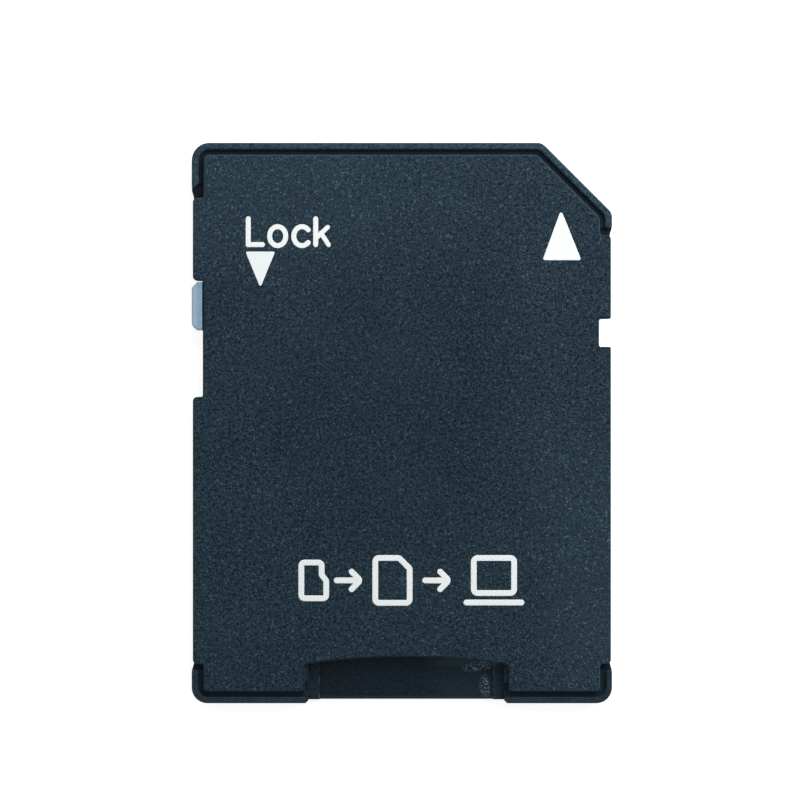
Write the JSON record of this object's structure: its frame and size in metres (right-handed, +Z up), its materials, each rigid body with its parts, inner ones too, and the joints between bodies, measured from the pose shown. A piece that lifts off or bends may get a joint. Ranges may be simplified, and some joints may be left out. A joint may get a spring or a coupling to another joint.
{
  "type": "memory card adapter",
  "caption": "Flat adapter shell with a lock slider, sprung contacts and a rear slot, through which a small memory card works in a reader for full-size cards.",
  "frame": {"origin": "centre of the bottom face, on the surface that the adapter lies on", "axes": "+X to the right seen from the label side, +Y towards the end that enters the reader, +Z up out of the label side"},
  "size_m": [0.024, 0.032, 0.0021],
  "materials": {
    "cover_plastic": "dark blue grey, fine spark texture",
    "housing_plastic": "dark blue grey, smooth satin",
    "block_plastic": "black, satin",
    "slider_plastic": "pale blue grey, satin",
    "contact_plating": "copper alloy with thin gold plating",
    "spring_steel": "bright rolled strip",
    "white_print": "thin white ink, printed on the cover"
  },
  "bodies": {
    "housing": {"bottom_housing": "housing_plastic", "top_cover": "cover_plastic", "terminal_block": "block_plastic", "contact_dat2": "contact_plating", "contact_dat3": "contact_plating", "contact_cmd": "contact_plating", "contact_vdd": "contact_plating", "contact_clk": "contact_plating", "contact_ground": "contact_plating", "contact_dat0": "contact_plating", "contact_dat1": "contact_plating"},
    "slider": {"lock_slider": "slider_plastic"},
    "latch": {"card_latch": "spring_steel"}
  },
  "joints": [
    {"name": "lock_slide", "type": "slide", "parent": "housing", "child": "slider", "axis": [0, -1, 0], "range_m": [0, 0.0037]},
    {"name": "latch_flex", "type": "hinge", "parent": "housing", "child": "latch", "pos_m": [0.00645, -0.00552, 0.00122], "axis": [0, 0, 1], "range_deg": [0, 4.6], "stiffness_Nm_per_rad": 0.0275}
  ]
}
